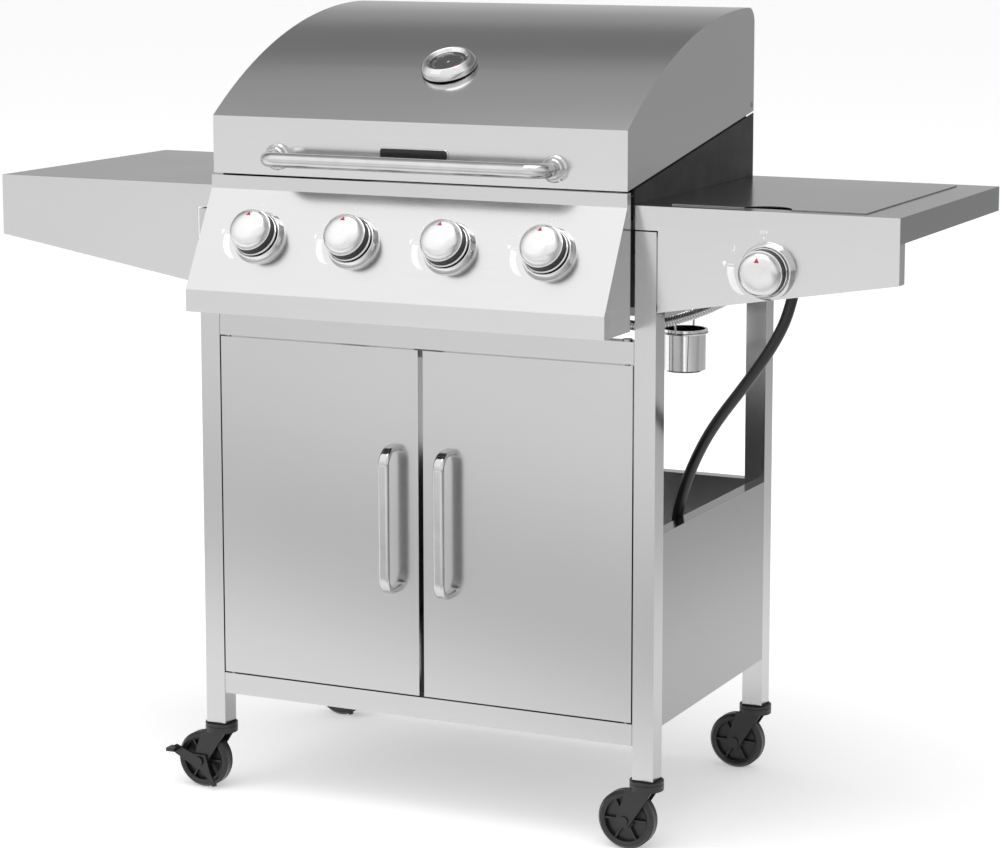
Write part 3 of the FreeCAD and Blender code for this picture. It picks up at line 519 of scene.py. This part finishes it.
def route_curve(name, route, radius):
    """A smooth NURBS line over the route, with a round section."""
    curve = bpy.data.curves.new(name, "CURVE")
    curve.dimensions = "3D"
    spline = curve.splines.new("NURBS")
    spline.points.add(len(route) - 1)
    for point, place in zip(spline.points, route):
        point.co = (*row_point(*place), 1)
    spline.order_u = 3
    spline.use_endpoint_u = True
    spline.resolution_u = 16
    curve.bevel_depth = radius * MM
    curve.bevel_resolution = 8
    curve.use_fill_caps = True
    piece = bpy.data.objects.new(name, curve)
    bpy.context.scene.collection.objects.link(piece)
    return piece


def curve_length(points):
    """The length in metres of a line through the points."""
    return sum((b - a).length for a, b in zip(points, points[1:]))


def centreline(name, route):
    """The points of the route's own NURBS line."""
    line = route_curve(name, route, 0)
    mesh = bpy.data.meshes.new_from_object(line)
    points = [vertex.co.copy() for vertex in mesh.vertices]
    bpy.data.objects.remove(line)
    return points


def make_hose():
    """The rubber hose, from the side valve to the regulator."""
    hose = route_curve("gas_hose_rubber", HOSE_ROUTE, HOSE_RADIUS)
    hose.data.materials.append(RUBBER)
    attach(hose, "cart")
    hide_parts("gas_hose")
    length = curve_length(centreline("hose_line", HOSE_ROUTE))
    row_point(*HOSE_ROUTE[0])


def stations(line, length, step):
    """Places and directions along a line of points, one a step."""
    travelled, index = 0.0, 0
    for i in range(int(length / step) + 1):
        target = min(i * step, length - 1e-6)
        while travelled + (line[index + 1] - line[index]).length < target:
            travelled += (line[index + 1] - line[index]).length
            index += 1
        along = (line[index + 1] - line[index]).normalized()
        yield line[index] + along * (target - travelled), along


def make_branch_pipe():
    """Corrugated steel pipe: evenly spaced round ribs along the route's line."""
    line = centreline("branch_line", BRANCH_ROUTE)
    length = curve_length(line)
    bm = bmesh.new()
    rings = []
    across = Vector((0, 0, 1))
    for i, (centre, along) in enumerate(stations(line, length, PIPE_PITCH * MM / RINGS_A_RIB)):
        across = (across - along * across.dot(along)).normalized()
        other = along.cross(across)
        wave = 0.5 + 0.5 * math.cos(math.tau * i / RINGS_A_RIB)
        radius = (PIPE_VALLEY + (PIPE_CREST - PIPE_VALLEY) * wave ** RIB_FLATNESS) * MM
        turns = [math.tau * k / PIPE_SIDES for k in range(PIPE_SIDES)]
        rings.append([bm.verts.new(centre + (across * math.cos(turn) + other * math.sin(turn))
                                   * radius) for turn in turns])
    for low, high in zip(rings, rings[1:]):
        bridge(bm, low, high)
    bm.faces.new(rings[0][::-1])
    bm.faces.new(rings[-1])
    pipe = finished("burner_pipe_ribs", to_mesh(bm, "burner_pipe_ribs"), "cart", "flex_steel",
                    turned_metal("flex_steel", 0.62, 0.22), angle=80)
    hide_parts("burner_pipe")
    row_point(*BRANCH_ROUTE[0])


# ---------------------------------------------------------------- knobs and printed marks


# Profiles of a knob and its bezel: (radius, height) in millimetres from the panel's face.
CAP = [(26.4, 27.5), (26.35, 30.0), (26.0, 32.2), (25.2, 34.2), (23.8, 36.1), (21.6, 37.8),
       (18.6, 39.2), (15.0, 40.1), (11.0, 40.6), (6.0, 40.9), (0, 41.0)]
SKIRT = [(3.1, 5), (27.0, 5), (28.2, 5.4), (28.6, 6.2), (28.6, 12.2), (29.0, 12.6), (29.0, 13.4),
         (28.5, 13.7), (28.5, 14.1), (29.0, 14.4), (29.0, 15.0), (28.3, 15.3)]
COLLAR = [(27.0, 25.6), (27.4, 25.9), (27.4, 26.8), (26.9, 27.1), (26.2, 27.2), (26.4, 27.5)]
RIBS = 60
# The grip's rings: radius, height, and how deep its gaps go.
GRIP = [(28.3, 15.3, 0), (27.5, 15.7, 0), (28.0, 16.1, 0.7), (27.7, 25.2, 0.7), (27.0, 25.6, 0)]
BORE = [(3.1, 5), (3.1, 32), (0, 32)]
BEZEL = [(29.6, 0.05), (35, 0.05), (35, 0.8), (34.6, 1.3), (34.2, 2.2), (32.0, 9.2),
         (31.5, 9.8), (30.6, 10), (29.9, 9.7), (29.6, 9.0)]


def knob_place(name):
    """A knob's axis, with its Z out of the panel."""
    joint = joints[f"knob_{name}_turn"]
    return axis_frame(joint["pos_m"], joint["axis"])


def dome_height(radius):
    """The height of a knob's cap at a radius, in millimetres."""
    for (far, low), (near, high) in zip(CAP, CAP[1:]):
        if near <= radius <= far:
            return low + (high - low) * (far - radius) / (far - near)
    return CAP[0][1]


def ribbed_band(bm, place, material):
    """The knob's grip: a band of square ribs between two smooth edges."""
    rings = []
    for radius, height, deep in GRIP:
        radii = [radius - (deep if i % 4 >= 2 else 0) for i in range(RIBS * 4)]
        rings.append(ring(bm, place, radii, height))
    for low, high in zip(rings, rings[1:]):
        bridge(bm, low, high, material)


def pointer(bm, place, material):
    """A small printed triangle that lies on the cap's dome and points outwards."""
    rows, half, foot, tall = 6, 3.3, 14.4, 6.0
    layers = []
    for lift in (0.1, -0.4):
        grid = []
        for row in range(rows + 1):
            part = row / rows
            line = []
            for k in range(rows - row + 1):
                across = rows - row
                x = half * (1 - part) * (2 * k / across - 1) if across else 0.0
                y = foot + tall * part
                height = dome_height(math.hypot(x, y)) + lift
                line.append(bm.verts.new(place @ (Vector((x, y, height)) * MM)))
            grid.append(line)
        layers.append(grid)
    for grid, flip in zip(layers, (1, -1)):
        for low, high in zip(grid, grid[1:]):
            for k in range(len(high)):
                bm.faces.new([low[k], low[k + 1], high[k]][::flip]).material_index = material
            for k in range(len(high) - 1):
                bm.faces.new([low[k + 1], high[k + 1], high[k]][::flip]).material_index = material
    rims = [grid[0] + [line[-1] for line in grid[1:]] + [line[0] for line in grid[-2:0:-1]]
            for grid in layers]
    for i in range(len(rims[0])):
        j = (i + 1) % len(rims[0])
        corners = [rims[0][i], rims[1][i], rims[1][j], rims[0][j]]
        bm.faces.new(corners).material_index = material


def make_knob(name):
    """A knob: a bright ringed skirt, a dark ribbed grip, a satin domed cap and a red pointer."""
    place = knob_place(name)
    bm = bmesh.new()
    lathe(bm, SKIRT, place, 1)
    ribbed_band(bm, place, 2)
    lathe(bm, COLLAR, place, 1)
    lathe(bm, CAP, place, 0)
    lathe(bm, BORE, place, 1)
    pointer(bm, place, 3)
    knob = finished(f"knob_cap_{name}", to_mesh(bm, f"knob_cap_{name}"), f"dial_{name}",
                    "knob_cap", SATIN, CHROME, RIBBED, RED, angle=28)
    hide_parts(f"knob_{name}")


# The printed marks, in millimetres round a knob's axis. OFF is made of bars.
OFF_WORD = (
    ((0, 0), (2.9, 0.6)), ((0, 3.4), (2.9, 4)), ((0, 0.6), (0.6, 3.4)), ((2.3, 0.6), (2.9, 3.4)),
    ((3.9, 0), (4.5, 4)), ((4.5, 3.4), (6.5, 4)), ((4.5, 1.7), (6.1, 2.3)),
    ((7.6, 0), (8.2, 4)), ((8.2, 3.4), (10.2, 4)), ((8.2, 1.7), (9.8, 2.3)),
)
SPARK = ((-40.6, 21.8), (-37.6, 21.8), (-36.6, 22.8), (-36.6, 28.6), (-37.5, 28.6), (-37.5, 23.2),
         (-38.0, 22.7), (-40.6, 22.7))
OFF_AT = (-5.1, 43.8)
DOT_AT, DOT_RADIUS = 39.4, 1.3
FLAME_AT, FLAME_HALF_WIDTH, FLAME_HALF_HEIGHT = (-49.7, 6.5), 2.1, 3.4
DASHES = [(-45.5 + 2.9 * k, 5.2) for k in range(3)]
DASH_WIDTH, DASH_HEIGHT = 2, 1.4
MARKS_SHIFT = -5.6
INK = 0.1


def crescent(bm, place):
    """A wedge that narrows clockwise, from a high to a low flame."""
    steps = 28
    outer, inner = [], []
    for i in range(steps + 1):
        part = i / steps
        turn = math.radians(176 + 55 * part)
        for rim, radius in ((outer, 46.4 - 7.5 * part ** 4), (inner, 37.5)):
            rim.append((radius * math.cos(turn), radius * math.sin(turn)))
    for i in range(steps):
        plate(bm, [outer[i], outer[i + 1], inner[i + 1], inner[i]], 0, INK, place)


def make_marks(name):
    """White printed marks round a knob: off with its dot, igniter spark, flame and a wedge."""
    place = knob_place(name) @ Matrix.Translation((MARKS_SHIFT * MM, 0, 0))
    bm = bmesh.new()
    crescent(bm, place)
    dot = [(x, DOT_AT + y) for x, y in ring_points(DOT_RADIUS, 0, 345, 23)]
    plate(bm, dot, 0, INK, place)
    plate(bm, SPARK, 0, INK, place)
    flame = [(FLAME_AT[0] + FLAME_HALF_WIDTH * math.sin(a) * (1 - 0.4 * math.cos(a)),
              FLAME_AT[1] - FLAME_HALF_HEIGHT * math.cos(a))
             for a in (math.tau * i / 20 for i in range(20))]
    plate(bm, flame, 0, INK, place)
    for left, low in DASHES:
        plate(bm, rectangle(left, low, left + DASH_WIDTH, low + DASH_HEIGHT), 0, INK, place)
    for (x0, y0), (x1, y1) in OFF_WORD:
        bar = rectangle(x0 + OFF_AT[0], y0 + OFF_AT[1], x1 + OFF_AT[0], y1 + OFF_AT[1])
        plate(bm, bar, 0, INK, place)
    finished(f"panel_marks_{name}", to_mesh(bm, f"panel_marks_{name}"), "cart", "badge_black",
             WHITE)


def make_bezel(name):
    """A bright stepped cone round each knob."""
    bm = bmesh.new()
    lathe(bm, BEZEL, knob_place(name), 0, closed=True)
    return finished(f"bezel_{name}", to_mesh(bm, f"bezel_{name}"), "cart", "chrome", CHROME)


# ---------------------------------------------------------------- lid furniture


# The lid's arch, as radius and crown, and where along it the thermometer sits.
LID_ARCH = 686.6
CROWN = (390, 938.5)
DIAL_Y = 86
DIAL_AXIS = (0, -0.4427, 0.8967)
# The thermometer's profiles: (radius, height) in millimetres from the lid's skin.
GASKET = [(30, 0.2), (35.0, 0.2), (35.6, 0.6), (35.6, 1.0), (35.2, 1.3)]
CASE = [(35.2, 1.3), (35.9, 1.7), (36, 2.4), (36, 8.0), (35.6, 8.9), (30.6, 15.4), (29.8, 15.9),
        (28.2, 16.0), (27.4, 15.7), (26.6, 14.9), (23.4, 11.6)]
CASE_LIP = [(23.4, 11.6), (22.9, 11.3), (22.9, 9.4)]
FACE = 9.4
FACE_RADIUS = 22.9
PROBE = [(3, 0.2), (3, -59), (1.5, -60), (0, -60)]
CASE_FLOOR = [(30, 0.2), (3, 0.2)]
HUB = [(2, 9.4), (2, 10.5), (1.4, 10.9), (0, 10.9)]
LENS_PROFILE = [(0, 11.8), (12, 11.7), (22.8, 11.2), (22.8, 10.9), (12, 11.3), (0, 11.4)]
DIAL_INK = (FACE, 9.5)
TICK_END = 20.6
TICKS, TICK_START, TICK_SWEEP = 31, 225, 270
ZONE_RADII, ZONE_ANGLES, ZONE_STEPS = (16.4, 14.2), (-10, -45), 12
NEEDLE_ANGLE = -128
NEEDLE_TIP, NEEDLE_TAIL, NEEDLE_HALF, NEEDLE_HEIGHTS = 15, -4, 0.8, (9.9, 10.2)


def dial_seat():
    """Where the thermometer's axis meets the lid's arch."""
    drop = LID_ARCH - math.sqrt(LID_ARCH ** 2 - (CROWN[0] - DIAL_Y) ** 2)
    return row_point(0, DIAL_Y, CROWN[1] - drop)


def turned(points, angle):
    """Points turned about the dial's middle by an angle in radians."""
    c, s = math.cos(angle), math.sin(angle)
    return [(x * c - y * s, x * s + y * c) for x, y in points]


def dial_print(bm, place):
    """The dial's ticks, every fifth one longer, its red zone and its needle."""
    for i in range(TICKS):
        near, half = (17.2, 0.35) if i % 5 == 0 else (18.6, 0.2)
        angle = math.radians(TICK_START - TICK_SWEEP * i / (TICKS - 1))
        plate(bm, turned(rectangle(near, -half, TICK_END, half), angle), *DIAL_INK, place, 4)
    outer, inner = (list(ring_points(radius, *ZONE_ANGLES, ZONE_STEPS)) for radius in ZONE_RADII)
    for i in range(ZONE_STEPS):
        plate(bm, [outer[i + 1], outer[i], inner[i], inner[i + 1]], *DIAL_INK, place, 5)
    needle = [(NEEDLE_TAIL, -NEEDLE_HALF), (NEEDLE_TIP, 0), (NEEDLE_TAIL, NEEDLE_HALF)]
    plate(bm, turned(needle, math.radians(NEEDLE_ANGLE)), *NEEDLE_HEIGHTS, place, 5)


def make_thermometer():
    """A domed case with a dial, its probe through the lid, and a glass over the dial."""
    place = axis_frame(dial_seat(), Vector(DIAL_AXIS).normalized())
    bm = bmesh.new()
    lathe(bm, GASKET, place, 2)
    lathe(bm, CASE, place, 1)
    lathe(bm, CASE_LIP, place, 2)
    lathe(bm, [(FACE_RADIUS, FACE), (0, FACE)], place, 3)
    lathe(bm, PROBE, place, 1, steps=32)
    lathe(bm, CASE_FLOOR, place, 1)
    dial_print(bm, place)
    lathe(bm, HUB, place, 1, steps=32)
    piece = finished("thermometer_dial", to_mesh(bm, "thermometer_dial"), "lid", "dial",
                     CHROME, CHROME, GLOSS_BLACK, FACE_BLACK, WHITE, RED, angle=25)
    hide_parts("thermometer")
    glass = bmesh.new()
    lathe(glass, LENS_PROFILE, place)
    finished("thermometer_glass", to_mesh(glass, "thermometer_glass"), "lid", "dial", GLASS)


BADGE_CORNER = 5
BADGE_STEPS = [(0, 0), (0, 1.5), (0.4, 2.0), (1.1, 2.0), (1.5, 1.5)]


def rounded_rectangle(half_x, half_y, radius):
    """The outline of a rectangle about the middle, with round corners."""
    points = []
    for side_x, side_y, start in ((1, -1, -90), (1, 1, 0), (-1, 1, 90), (-1, -1, 180)):
        x0, y0 = side_x * (half_x - radius), side_y * (half_y - radius)
        points += [(x0 + x, y0 + y) for x, y in ring_points(radius, start, start + 90, 8)]
    return points


def make_badge():
    """A blank black plate in a bright rim."""
    low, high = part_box("badge")
    centre = (low + high) / 2
    place = axis_frame((centre.x, high.y, centre.z), (0, -1, 0))
    half_x, half_y = (high.x - low.x) / 2 / MM, (high.z - low.z) / 2 / MM
    bm = bmesh.new()
    loops = []
    for inset, height in BADGE_STEPS:
        outline = rounded_rectangle(half_x - inset, half_y - inset, BADGE_CORNER - inset)
        loops.append([bm.verts.new(place @ (Vector((x, y, height)) * MM)) for x, y in outline])
    for low_loop, high_loop in zip(loops, loops[1:]):
        bridge(bm, low_loop, high_loop)
    bm.faces.new(loops[-1]).material_index = 1
    bm.faces.new(loops[0][::-1])
    badge = finished("blank_badge", to_mesh(bm, "blank_badge"), "lid", "badge_black", CHROME,
                     GLOSS_BLACK)
    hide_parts("badge")


# ---------------------------------------------------------------- build

make_camera()
make_studio()
dress_frame()
make_hose()
make_branch_pipe()
bezels = [make_bezel(name) for name in KNOBS]
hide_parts("knob_bezels")
for knob_name in KNOBS:
    make_knob(knob_name)
    make_marks(knob_name)
make_thermometer()
make_badge()
